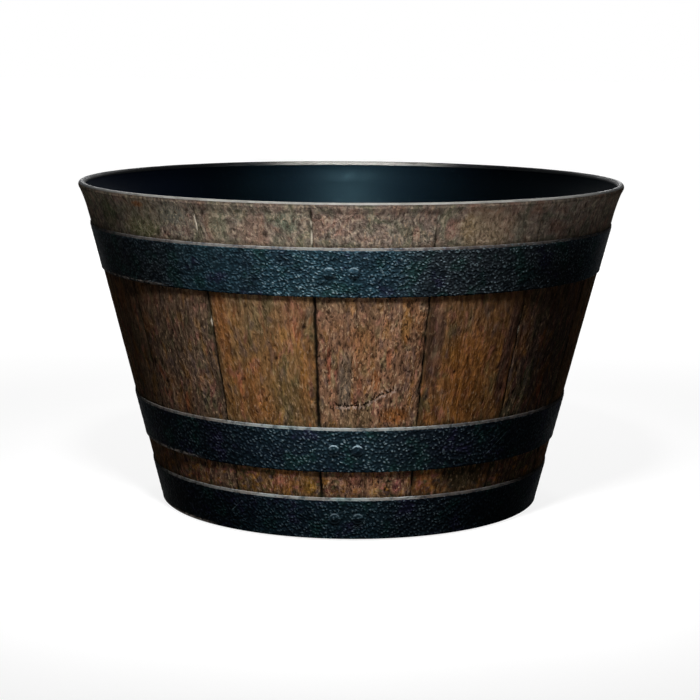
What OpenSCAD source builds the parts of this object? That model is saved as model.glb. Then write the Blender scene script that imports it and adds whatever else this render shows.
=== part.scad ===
// Flower pot in the shape of half a barrel: a moulded shell with stave relief, three hoops and their
// rivets, and a plug in the drain hole. Millimetres, Z up, the origin on the ground below the middle.
// The front of the pot, where the rivets are, faces -Y.

/* [Pot] */
// Height from the ground to the top of the rim
pot_h = 232; // [190:1:290]
// Outer diameter over the rim
rim_d = 390; // [350:1:440]
// Outer diameter of the wall at the ground
base_d = 271.4; // [240:0.1:310]
// Thickness of the wall
wall_t = 4.3; // [3:0.1:7]
// Thickness of the floor
floor_t = 4.5; // [3:0.1:8]
// Radius of the fillet between the floor and the wall
floor_fillet = 12; // [4:1:20]

/* [Rim] */
// Height of the flared stretch of wall under the bead
flare_h = 18; // [10:1:28]
// How far the flare carries the wall out past its straight line
flare_out = 1.7; // [0.5:0.1:6]
// How far the bead stands out past the wall, outside
bead_out = 0.6; // [0.1:0.1:1]
// How far the bead stands out past the wall, inside
bead_in = 0.3; // [0.1:0.1:1]

/* [Foot] */
// Height of the wall's lower edge above the ground
edge_lift = 1.5; // [1:0.1:5]
// Height of the floor's underside above the ground
foot_h = 6; // [5:0.5:15]
// Width of the foot ring
foot_w = 7; // [5:0.5:15]
// Distance from the wall's lower edge in to the foot ring
foot_inset = 5.5; // [3:0.5:15]
// Number of water gaps in the foot ring
gap_count = 4; // [3:1:8]
// Width of each water gap
gap_w = 18; // [8:1:30]
// Height of each water gap
gap_h = 3; // [1:0.5:4]

/* [Staves] */
// Number of staves
stave_count = 15; // [10:1:24]
// Turn of the first seam from the front, anticlockwise from above
seam_turn = 16.6; // [0:0.1:36]
// Width of the seam between two staves
seam_w = 1.9; // [1:0.1:4]
// Depth of the seam between two staves
seam_depth = 1.4; // [0.5:0.1:2]

/* [Hoops] */
// Thickness of each hoop
hoop_t = 0.9; // [0.6:0.1:3]
// Height of the bevel along a hoop's top edge
bevel_h = 2.3; // [0.5:0.1:5]
// Thickness left at the very top of the bevel
bevel_edge = 0.3; // [0.1:0.1:0.5]
// Height of the upper hoop
upper_hoop_h = 32.5; // [20:0.5:45]
// Distance from the top of the rim down to the upper hoop
upper_hoop_drop = 29; // [24:0.5:50]
// Height of the middle hoop
middle_hoop_h = 31.5; // [20:0.5:45]
// Height of bare wall between the base hoop and the middle hoop
middle_hoop_gap = 18.5; // [8:0.5:35]
// Height of the base hoop
base_hoop_h = 30; // [20:0.5:40]

/* [Rivets] */
// Diameter of a rivet's head
head_d = 8; // [5:0.1:12]
// Height of the low domed head
head_h = 1; // [0.8:0.1:3]
// Diameter of the shank
shank_d = 4; // [2:0.1:4.5]
// Depth that the shank reaches into the wall
shank_bite = 1.6; // [1:0.1:2]
// Distance between the two rivets of a pair
rivet_pitch = 15.6; // [13:0.1:30]
// Turn of the upper hoop's pair from the front, anticlockwise from above
upper_pair_turn = -1.8; // [-5:0.1:5]
// Turn of the middle hoop's pair from the front, anticlockwise from above
middle_pair_turn = -0.9; // [-5:0.1:5]
// Turn of the base hoop's pair from the front, anticlockwise from above
base_pair_turn = -0.7; // [-5:0.1:5]

/* [Drain] */
// Diameter of the drain hole
drain_d = 16; // [10:0.5:30]
// Width of the plug's flange past the edge of the hole
flange_lap = 5; // [3:0.5:10]
// Thickness of the plug's flange
flange_t = 2.5; // [1.5:0.1:5]
// Diameter of the grip on top of the plug
grip_d = 9; // [6:0.5:10]
// Height of the grip above the flange
grip_h = 7; // [4:0.5:12]
// Distance that the plug stops short of the floor's underside
plug_short = 0.8; // [0:0.1:2]

/* [Clearances] */
// Gap between a hoop and the wall
hoop_gap = 0.05; // [0.02:0.01:0.2]
// Gap between a rivet's shank and its hole
shank_gap = 0.1; // [0.05:0.01:0.2]
// Gap between the plug and the drain hole
plug_gap = 0.3; // [0.1:0.05:0.5]

/* [Hidden] */
$fn = 180;
small_fn = 48;
flare_steps = 5;
fillet_steps = 8;
bead_steps = 16;
// Length by which a cutting shape runs past what it cuts
past = 1;

rim_r = rim_d / 2;
base_r = base_d / 2;
floor_z = foot_h + floor_t;

// The bead is an arc from the outside of the wall over to the inside
bead_r = (wall_t + bead_out + bead_in) / 2;
bead_x = rim_r - bead_r;
bead_z = pot_h - bead_r;
bead_start = -acos(1 - bead_out / bead_r);
bead_end = 180 + acos(1 - bead_in / bead_r);

// Where the wall ends at the bead, and where its flare begins
lip_z = bead_z + bead_r * sin(bead_start);
flare_z = lip_z - flare_h;
// Radius that the wall's straight line reaches at the bead, before the flare is added
line_r = rim_r - bead_out - flare_out;
line_slope = (line_r - base_r) / lip_z;

foot_r = wall_r(edge_lift) - foot_inset;
foot_in_r = foot_r - foot_w;

base_hoop_z = edge_lift;
middle_hoop_z = base_hoop_z + base_hoop_h + middle_hoop_gap;
upper_hoop_z = pot_h - upper_hoop_drop - upper_hoop_h;

// Outer radius of the wall at height z
function wall_r(z) =
    base_r + line_slope * z
    + flare_out * pow(max(0, z - flare_z) / flare_h, 2);

// Lean of the wall from upright at height z, in degrees
function wall_lean(z) = atan((wall_r(z + 0.5) - wall_r(z - 0.5)));

// Heights from low to high, with those between them at which the wall bends
function heights(low, high) = concat(
    [low],
    [for (i = [0 : flare_steps - 1])
        let (z = flare_z + flare_h * i / flare_steps)
        if (z > low && z < high) z],
    [high]
);

// Points on the wall from low to high, moved out by a distance
function wall_points(low, high, out = 0) =
    [for (z = heights(low, high)) [wall_r(z) + out, z]];

function reversed(points) = [for (i = [len(points) - 1 : -1 : 0]) points[i]];

// Turns something made at the front of the pot to an angle round it
module turned(angle) {
    rotate([0, 0, angle]) children();
}

// Section of the wall, the floor and the foot ring, right of the axis
module shell_section() {
    corner_r = wall_r(floor_z + floor_fillet) - wall_t;
    fillet_x = corner_r - floor_fillet;
    fillet_z = floor_z + floor_fillet;
    polygon(concat(
        [[0, foot_h], [foot_in_r, foot_h], [foot_in_r, 0], [foot_r, 0], [foot_r, edge_lift]],
        wall_points(edge_lift, lip_z),
        [for (i = [1 : bead_steps - 1])
            let (a = bead_start + (bead_end - bead_start) * i / bead_steps)
            [bead_x + bead_r * cos(a), bead_z + bead_r * sin(a)]],
        reversed(wall_points(fillet_z, lip_z, -wall_t)),
        [for (i = [1 : fillet_steps])
            let (a = -90 * i / fillet_steps)
            [fillet_x + floor_fillet * cos(a), fillet_z + floor_fillet * sin(a)]],
        [[0, floor_z]]
    ));
}

// One seam between two staves, at the front of the pot, from the wall's lower edge to the bead
module seam_cut() {
    low = edge_lift - past;
    high = lip_z - past;
    rotate([90, 0, -90]) translate([0, 0, -seam_w / 2]) linear_extrude(seam_w)
        polygon(concat(
            wall_points(low, high, -seam_depth),
            reversed(wall_points(low, high, past))
        ));
}

// Places something on a hoop at each rivet of its pair, with Z pointing out of the hoop's face
module at_rivets(hoop_z, hoop_h, pair_turn) {
    z = hoop_z + hoop_h / 2;
    face_r = wall_r(z) + hoop_gap + hoop_t;
    half_turn = asin(rivet_pitch / 2 / face_r);
    for (side = [-1, 1])
        turned(pair_turn + side * half_turn)
            translate([0, -face_r, z])
                rotate([90 + wall_lean(z), 0, 0])
                    children();
}

// Hole that one rivet's shank sits in, through the hoop and into the wall
module shank_hole() {
    depth = hoop_t + hoop_gap + shank_bite + shank_gap;
    translate([0, 0, -depth]) cylinder(d = shank_d + 2 * shank_gap, h = depth + past, $fn = small_fn);
}

// Space of every water gap in the foot ring
module water_gaps() {
    for (i = [0 : gap_count - 1])
        rotate([0, 0, 360 * (i + 0.5) / gap_count])
            translate([foot_in_r - past, -gap_w / 2, -past])
                cube([foot_w + 2 * past, gap_w, gap_h + past]);
}

module pot_shell() {
    color([0.55, 0.33, 0.18]) difference() {
        rotate_extrude() shell_section();
        for (i = [0 : stave_count - 1]) turned(seam_turn + 360 * i / stave_count) seam_cut();
        water_gaps();
        translate([0, 0, foot_h - past]) cylinder(d = drain_d, h = floor_t + 2 * past);
        at_rivets(upper_hoop_z, upper_hoop_h, upper_pair_turn) shank_hole();
        at_rivets(middle_hoop_z, middle_hoop_h, middle_pair_turn) shank_hole();
        at_rivets(base_hoop_z, base_hoop_h, base_pair_turn) shank_hole();
    }
}

// A band round the wall with a bevelled top edge, and holes for its pair of rivets
module hoop(low, height, pair_turn) {
    high = low + height;
    color([0.07, 0.08, 0.09]) difference() {
        rotate_extrude() polygon(concat(
            wall_points(low, high - bevel_h, hoop_gap + hoop_t),
            [[wall_r(high) + hoop_gap + bevel_edge, high]],
            reversed(wall_points(low, high, hoop_gap))
        ));
        at_rivets(low, height, pair_turn) shank_hole();
    }
}

module upper_hoop() {
    hoop(upper_hoop_z, upper_hoop_h, upper_pair_turn);
}

module middle_hoop() {
    hoop(middle_hoop_z, middle_hoop_h, middle_pair_turn);
}

module base_hoop() {
    hoop(base_hoop_z, base_hoop_h, base_pair_turn);
}

// A domed head on a straight shank, the head's flat side at the origin
module rivet() {
    ball_r = (pow(head_d / 2, 2) + pow(head_h, 2)) / (2 * head_h);
    intersection() {
        translate([0, 0, head_h - ball_r]) sphere(r = ball_r, $fn = small_fn);
        cylinder(d = head_d, h = head_h + past, $fn = small_fn);
    }
    depth = hoop_t + hoop_gap + shank_bite;
    translate([0, 0, -depth]) cylinder(d = shank_d, h = depth + head_h / 2, $fn = small_fn);
}

module rivet_pair(hoop_z, hoop_h, pair_turn) {
    color([0.1, 0.11, 0.12]) at_rivets(hoop_z, hoop_h, pair_turn) rivet();
}

module upper_rivets() {
    rivet_pair(upper_hoop_z, upper_hoop_h, upper_pair_turn);
}

module middle_rivets() {
    rivet_pair(middle_hoop_z, middle_hoop_h, middle_pair_turn);
}

module base_rivets() {
    rivet_pair(base_hoop_z, base_hoop_h, base_pair_turn);
}

// The plug: a stem in the drain hole, a flange on the floor and a grip to lift it by
module drain_plug() {
    stem_z = foot_h + plug_short;
    neck_d = 0.7 * grip_d;
    ball_r = grip_d / 2;
    color([0.12, 0.12, 0.12]) {
        translate([0, 0, stem_z]) cylinder(d = drain_d - 2 * plug_gap, h = floor_z - stem_z);
        translate([0, 0, floor_z]) cylinder(d = drain_d + 2 * flange_lap, h = flange_t);
        translate([0, 0, floor_z + flange_t]) cylinder(d = neck_d, h = grip_h - ball_r);
        translate([0, 0, floor_z + flange_t + grip_h - ball_r]) sphere(r = ball_r);
    }
}

pot_shell();
upper_hoop();
middle_hoop();
base_hoop();
upper_rivets();
middle_rivets();
base_rivets();
drain_plug();
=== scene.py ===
"""The looks of a resin flower pot shaped like half a barrel. Its front, with the rivets, faces -Y."""

import math

import bpy
import numpy as np
from mathutils import Matrix, Vector


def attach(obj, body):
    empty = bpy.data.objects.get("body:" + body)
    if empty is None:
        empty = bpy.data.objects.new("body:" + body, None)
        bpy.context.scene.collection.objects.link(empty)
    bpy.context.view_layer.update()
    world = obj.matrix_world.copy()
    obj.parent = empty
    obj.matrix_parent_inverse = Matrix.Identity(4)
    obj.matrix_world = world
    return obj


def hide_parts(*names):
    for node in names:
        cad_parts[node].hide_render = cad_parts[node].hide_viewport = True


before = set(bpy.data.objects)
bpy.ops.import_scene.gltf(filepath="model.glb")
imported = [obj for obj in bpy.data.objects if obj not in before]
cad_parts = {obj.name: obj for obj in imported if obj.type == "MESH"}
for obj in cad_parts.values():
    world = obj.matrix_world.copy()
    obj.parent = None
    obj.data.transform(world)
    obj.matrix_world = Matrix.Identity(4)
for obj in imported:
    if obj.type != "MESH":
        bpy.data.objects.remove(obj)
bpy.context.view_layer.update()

MM = 0.001

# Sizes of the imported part, in millimetres
POT_H = 232.0
RIM_R = 195.0
BASE_R = 135.7
WALL_T = 4.3
FLOOR_Z = 10.5
FLOOR_FILLET = 12.0
FLARE_H = 18.0
FLARE_OUT = 1.7
BEAD_OUT = 0.6
BEAD_IN = 0.3
EDGE_LIFT = 1.5
FOOT_H = 6.0
FOOT_W = 7.0
FOOT_INSET = 5.5
GAP_COUNT = 4
GAP_W = 18.0
GAP_H = 3.0
STAVES = 15
STAVE_DEG = 360 / STAVES
SEAM_TURN = 16.6
HOOP_T = 0.9
HOOP_GAP = 0.05
BEVEL_H = 2.3
BEVEL_EDGE = 0.3
HOOPS = {
    "base_hoop": (1.5, 31.5),
    "middle_hoop": (50.0, 81.5),
    "upper_hoop": (170.5, 203.0),
}
RIVET_PITCH = 15.6
PAIR_TURNS = {"upper_rivets": -1.8, "middle_rivets": -0.9, "base_rivets": -0.7}
HEAD_R = 4.0
HEAD_H = 1.0
DRAIN_R = 8.0
PLUG_LOW = 6.8
PLUG_STEM_R = 7.7
PLUG_FLANGE_R = 13.0
PLUG_FLANGE_T = 2.5
PLUG_TOP = 20.0
GRIP_R = 4.5

BEAD_R = (WALL_T + BEAD_OUT + BEAD_IN) / 2
BEAD_X = RIM_R - BEAD_R
BEAD_Z = POT_H - BEAD_R
BEAD_START = -math.acos(1 - BEAD_OUT / BEAD_R)
BEAD_END = math.pi + math.acos(1 - BEAD_IN / BEAD_R)
LIP_Z = BEAD_Z + BEAD_R * math.sin(BEAD_START)
FLARE_Z = LIP_Z - FLARE_H
WALL_SLOPE = (RIM_R - BEAD_OUT - FLARE_OUT - BASE_R) / LIP_Z

# Radii at which distances round the pot are measured, for the grain and for the hoops' surface
GRAIN_R = 172.0
HOOP_RUN_R = 163.0

# Heights in metres from which to which one look gives way to the next
TOP_BAND = (0.199, 0.205)
LOW_BAND = (0.060, 0.045)
UPPER_HOOP_BAND = (0.120, 0.150)
ABOVE_BASE_HOOP = (0.030, 0.060)
# The grain is shorter above and below these heights
TOP_GRAIN_FROM = 0.200
LOW_GRAIN_TO = 0.052
# The front half's smoother beads, painted highlights and painted side shade go from full to none between
# these places in y
FRONT_HALF = (0.0, 0.09, 1.0, 0.0)


def wall_r(z):
    return BASE_R + WALL_SLOPE * z + FLARE_OUT * (np.maximum(0, z - FLARE_Z) / FLARE_H) ** 2


# Noise on lattices of whole numbers

def lattice(i, j, seed):
    n = (i * 73856093) ^ (j * 19349663) ^ (seed * 83492791 + 12345)
    n = ((n ^ (n >> 13)) * 1274126177) & 0xFFFFFFFF
    n = ((n ^ (n >> 15)) * 2246822519) & 0xFFFFFFFF
    return ((n ^ (n >> 16)) & 0xFFFF) / 32767.5 - 1


def noise(x, y, seed, period=0):
    """Smooth noise from -1 to 1. It repeats in x after that many cells, unless period is 0."""
    i, j = np.floor(x).astype(np.int64), np.floor(y).astype(np.int64)
    fx, fy = x - i, y - j
    fx, fy = fx * fx * (3 - 2 * fx), fy * fy * (3 - 2 * fy)
    i1 = i + 1
    if period:
        i, i1 = i % period, i1 % period
    low = lattice(i, j, seed) * (1 - fx) + lattice(i1, j, seed) * fx
    high = lattice(i, j + 1, seed) * (1 - fx) + lattice(i1, j + 1, seed) * fx
    return low * (1 - fy) + high * fy


def layered(x, y, seed, layers=3):
    total, weight, size = 0, 1, 0
    for k in range(layers):
        total = total + weight * noise(x * 2**k, y * 2**k, seed + k)
        size += weight
        weight *= 0.55
    return total / size


def spots(x, y, seed, period=0, spread=0.8):
    """Distance to the nearest of the scattered points, one to a cell, and a random number of that point."""
    i, j = np.floor(x).astype(np.int64), np.floor(y).astype(np.int64)
    best = np.full(np.shape(x), 9.0)
    which = np.zeros(np.shape(x))
    for di in (-1, 0, 1):
        for dj in (-1, 0, 1):
            ci, cj = i + di, j + dj
            wi = ci % period if period else ci
            px = ci + 0.5 + 0.5 * spread * lattice(wi, cj, seed)
            py = cj + 0.5 + 0.5 * spread * lattice(wi, cj, seed + 1)
            d = np.hypot(x - px, y - py)
            nearer = d < best
            best = np.where(nearer, d, best)
            which = np.where(nearer, lattice(wi, cj, seed + 2) * 0.5 + 0.5, which)
    return best, which


def smooth(low, high, x):
    t = np.clip((x - low) / (high - low), 0, 1)
    return t * t * (3 - 2 * t)


# Meshes of rings of points

def ring_points(angles, radii, heights):
    angles, radii, heights = np.broadcast_arrays(angles, radii, heights)
    return np.stack([radii * np.sin(angles), -radii * np.cos(angles), heights], axis=-1)


def quads_between(a, b, count):
    """Faces that join ring a to ring b, both of count points. Outside, b is above a."""
    k = np.arange(count)
    n = (k + 1) % count
    return np.stack([a + k, a + n, b + n, b + k], axis=-1)


def new_object(name, data):
    made = bpy.data.objects.new(name, data)
    bpy.context.scene.collection.objects.link(made)
    return made


def make_piece(name, points, faces, materials, face_materials=None, attributes=None, sharp=None):
    mesh = bpy.data.meshes.new(name)
    mesh.from_pydata((np.asarray(points) * MM).tolist(), [], faces)
    for m in materials:
        mesh.materials.append(m)
    if face_materials is not None:
        mesh.polygons.foreach_set("material_index", np.asarray(face_materials, np.int32))
    for key, values in (attributes or {}).items():
        layer = mesh.attributes.new(key, "FLOAT", "POINT")
        layer.data.foreach_set("value", np.asarray(values, np.float32))
    mesh.polygons.foreach_set("use_smooth", np.ones(len(mesh.polygons), bool))
    if sharp is not None:
        mesh.set_sharp_from_angle(angle=math.radians(sharp))
    mesh.validate()
    mesh.update()
    return new_object(name, mesh)


# Node materials

def srgb(r, g, b):
    def linear(c):
        c = c / 255
        return c / 12.92 if c <= 0.04045 else ((c + 0.055) / 1.055) ** 2.4
    return (linear(r), linear(g), linear(b), 1.0)


class Value:
    """What a node gives out. Adding, subtracting and multiplying make nodes too."""

    def __init__(self, nodes, socket):
        self.nodes, self.socket = nodes, socket

    def __add__(self, other):
        return self.nodes.math("ADD", self, other)

    def __sub__(self, other):
        return self.nodes.math("SUBTRACT", self, other)

    def __rsub__(self, other):
        return self.nodes.math("SUBTRACT", other, self)

    def __mul__(self, other):
        return self.nodes.math("MULTIPLY", self, other)

    def __abs__(self):
        return self.nodes.math("ABSOLUTE", self)

    def between(self, low, high, to_low=0.0, to_high=1.0, kind="SMOOTHSTEP"):
        """Goes from to_low, where the value is low or beyond it, to to_high."""
        node = self.nodes.new("MapRange")
        node.interpolation_type = kind
        return self.nodes.fill(node, self, low, high, to_low, to_high)

    def painted(self, share, r, g, b):
        """This colour with a share of another one over it."""
        return self.nodes.mix(share, self, srgb(r, g, b))

    def shaded(self, factor, share=1.0):
        """This colour multiplied by a factor, or in part where a share is given."""
        return self.nodes.mix(share, self, factor, "MULTIPLY")


class Nodes:
    """A node tree and short ways to add to it. A tuple that holds a Value stands for a vector."""

    def __init__(self, tree):
        self.tree = tree

    def put(self, socket, value):
        if isinstance(value, tuple) and any(isinstance(part, Value) for part in value):
            value = self.fill(self.new("CombineXYZ"), *value)
        if isinstance(value, Value):
            self.tree.links.new(value.socket, socket)
        else:
            socket.default_value = value

    def new(self, kind):
        return self.tree.nodes.new("ShaderNode" + kind)

    def fill(self, node, *values, **named):
        """Sets a node's inputs, in order or by name, and gives its first output."""
        for key, value in (*enumerate(values), *named.items()):
            self.put(node.inputs[key], value)
        return Value(self, node.outputs[0])

    def math(self, operation, *values):
        node = self.new("Math")
        node.operation = operation
        return self.fill(node, *values)

    def larger(self, a, b):
        return self.math("MAXIMUM", a, b)

    def parts(self, vector):
        node = self.new("SeparateXYZ")
        self.fill(node, vector)
        return [Value(self, socket) for socket in node.outputs]

    def place(self):
        """The x, y and z in metres of each spot."""
        return self.parts(Value(self, self.new("TexCoord").outputs["Object"]))

    def attribute(self, name):
        node = self.new("Attribute")
        node.attribute_name = name
        return Value(self, node.outputs["Fac"])

    def noise(self, vector, scale, detail=2.0, roughness=0.5, distortion=0.0):
        return self.fill(self.new("TexNoise"), vector, Scale=scale, Detail=detail, Roughness=roughness,
                         Distortion=distortion)

    def cells(self, vector, scale, randomness=1.0):
        """Distance to the nearest point and a random number of its cell, in the vector's x and y."""
        node = self.new("TexVoronoi")
        node.voronoi_dimensions = "2D"
        distance = self.fill(node, vector, Scale=scale, Randomness=randomness)
        return distance, self.parts(Value(self, node.outputs["Color"]))[0]

    def random(self, value):
        node = self.new("TexWhiteNoise")
        node.noise_dimensions = "1D"
        return self.fill(node, W=value)

    def mix(self, share, a, b, blend="MIX"):
        node = self.new("Mix")
        node.data_type = "RGBA"
        node.blend_type = blend
        node.clamp_factor = True
        for key, value in ((0, share), (6, a), (7, b)):
            self.put(node.inputs[key], value)
        return Value(self, node.outputs[2])

    def ramp(self, value, stops, steps=False):
        node = self.new("ValToRGB")
        node.color_ramp.interpolation = "CONSTANT" if steps else "LINEAR"
        elements = node.color_ramp.elements
        while len(elements) < len(stops):
            elements.new(0.5)
        for element, (position, colour) in zip(elements, stops):
            element.position = position
            element.color = colour
        return self.fill(node, value)

    def tones(self, value, *stops):
        """A ramp of colours, each given as its position, red, green and blue."""
        return self.ramp(value, [(position, srgb(*rgb)) for position, *rgb in stops])

    def curve(self, value, points):
        node = self.new("FloatCurve")
        line = node.mapping.curves[0]
        while len(line.points) < len(points):
            line.points.new(0.5, 0.5)
        for point, place in zip(line.points, points):
            point.location = place
            point.handle_type = "VECTOR"
        node.mapping.update()
        return self.fill(node, Value=value)

    def bump(self, height, distance, strength=1.0):
        return self.fill(self.new("Bump"), Height=height, Distance=distance, Strength=strength)

    def rays(self):
        """1 for rays from the camera, and 1 for rays that glossy or clear surfaces send on."""
        seen = self.new("LightPath").outputs
        mirrored = self.larger(Value(self, seen["Is Glossy Ray"]), Value(self, seen["Is Transmission Ray"]))
        return Value(self, seen["Is Camera Ray"]), mirrored


class Look(Nodes):
    """A node material."""

    def __init__(self, name, roughness, specular, specular_tint=(1.0, 1.0, 1.0, 1.0)):
        self.material = bpy.data.materials.new(name)
        self.material.use_nodes = True
        super().__init__(self.material.node_tree)
        self.shader = self.tree.nodes["Principled BSDF"]
        self.shader.inputs["Roughness"].default_value = roughness
        self.shader.inputs["Specular IOR Level"].default_value = specular
        self.shader.inputs["Specular Tint"].default_value = specular_tint

    def finish(self, colour=None, roughness=None, normal=None):
        for key, value in (("Base Color", colour), ("Roughness", roughness), ("Normal", normal)):
            if value is not None:
                self.put(self.shader.inputs[key], value)
        return self.material


def angle_round_pot(look, x, y):
    """Radians from the front, positive towards +X."""
    return look.math("ARCTAN2", x, y * -1.0)


def from_axis(look, x, y):
    return look.math("SQRT", x * x + y * y)


# Stave colours, from the seam right of the front and on round the pot, then how speckled, streaky and green
# each stave is
STAVE_COLOURS = [
    (103, 70, 41), (74, 59, 51), (96, 73, 53), (98, 68, 48), (84, 68, 55),
    (106, 76, 48), (82, 64, 51), (104, 80, 58), (94, 64, 47), (102, 74, 48),
    (88, 70, 56), (88, 69, 54), (88, 70, 57), (106, 79, 50), (108, 79, 60),
]
STAVE_WAYS = [
    (0.25, 1.0, 0.1), (0.8, 0.5, 0.6), (0.45, 0.9, 0.3), (0.8, 0.6, 0.25), (0.7, 0.6, 0.55),
    (0.5, 0.9, 0.25), (0.85, 0.5, 0.4), (0.65, 0.7, 0.35), (0.55, 0.8, 0.3), (0.4, 0.9, 0.25),
    (0.85, 0.5, 0.5), (0.6, 0.8, 0.25), (0.75, 0.4, 0.45), (0.5, 0.55, 0.65), (1.0, 0.6, 0.4),
]
# Soft patches on the staves at the front: colour, angle from the front in degrees, height, half widths in
# degrees and millimetres, strength
PATCHES = [
    ((126, 78, 40), -29, 148, 2.2, 34, 0.6),
    ((120, 74, 38), -22, 96, 6.5, 14, 0.45),
    ((86, 76, 50), -15, 102, 4.4, 18, 0.42),
    ((112, 72, 54), -12, 158, 3, 14, 0.45),
    ((82, 76, 66), -1.2, 112, 1.8, 26, 0.7),
    ((122, 88, 56), 3.5, 134, 3, 22, 0.45),
    ((136, 80, 54), 8.6, 131, 0.8, 9, 0.65),
    ((134, 82, 46), 6, 114, 1.3, 8, 0.6),
    ((130, 76, 54), 2.2, 112, 0.6, 6, 0.55),
    ((132, 72, 54), -4.6, 124, 0.5, 15, 0.6),
    ((122, 86, 40), 12, 150, 1.2, 14, 0.6),
    ((128, 78, 34), 10.5, 90, 4, 6, 0.65),
    ((60, 44, 46), 18.8, 140, 2.4, 40, 0.55),
    ((124, 76, 34), 28, 112, 6, 40, 0.55),
    ((56, 40, 44), 38.5, 130, 2, 44, 0.65),
    ((146, 108, 44), -10.2, 39, 1.8, 6, 0.75),
    ((132, 82, 66), -18, 42, 2.4, 5, 0.6),
    ((128, 74, 62), 1.5, 44, 2, 5, 0.6),
    ((150, 112, 62), 6.5, 36, 1.4, 5, 0.6),
    ((140, 100, 78), 3, 42, 7, 8, 0.35),
    ((124, 70, 72), 12.5, 40, 1.6, 6, 0.6),
    # This dark patch low on the right is painted shade, darker where less light falls
    ((40, 40, 29), 31, 42, 9, 12, 0.88),
    ((94, 96, 76), -26.5, 215, 2.6, 12, 0.6),
    ((116, 94, 80), -19, 212, 4, 12, 0.45),
    ((92, 94, 58), -47, 209, 6, 8, 0.7),
    ((100, 100, 90), -37, 221, 4.5, 8, 0.7),
    ((114, 108, 86), -46, 219, 7, 12, 0.45),
    ((140, 90, 56), -46.5, 225, 1.8, 2.2, 0.75),
    ((70, 78, 54), -59, 216, 3.5, 14, 0.75),
    ((82, 90, 76), -12, 218, 2.4, 9, 0.65),
    ((132, 92, 80), 12.6, 212, 0.8, 6, 0.5),
    ((128, 90, 80), 19.5, 214, 1.4, 8, 0.6),
    ((116, 102, 66), 23, 216, 1.8, 9, 0.6),
    ((92, 90, 76), 35, 214, 3, 12, 0.5),
    ((136, 112, 88), 27, 214, 7, 16, 0.55),
]
# The line of the crack, as shares of the front stave's width and of its rise, then in metres its lowest
# height, its rise and how jagged it is
CRACK_LINE = [(0.0, 0.32), (0.18, 0.3), (0.39, 0.3), (0.47, 0.36), (0.6, 0.66), (0.77, 0.88), (1.0, 0.95)]
CRACK_LOW = 0.0878
CRACK_RISE = 0.02
CRACK_JAG = 0.0066


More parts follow.
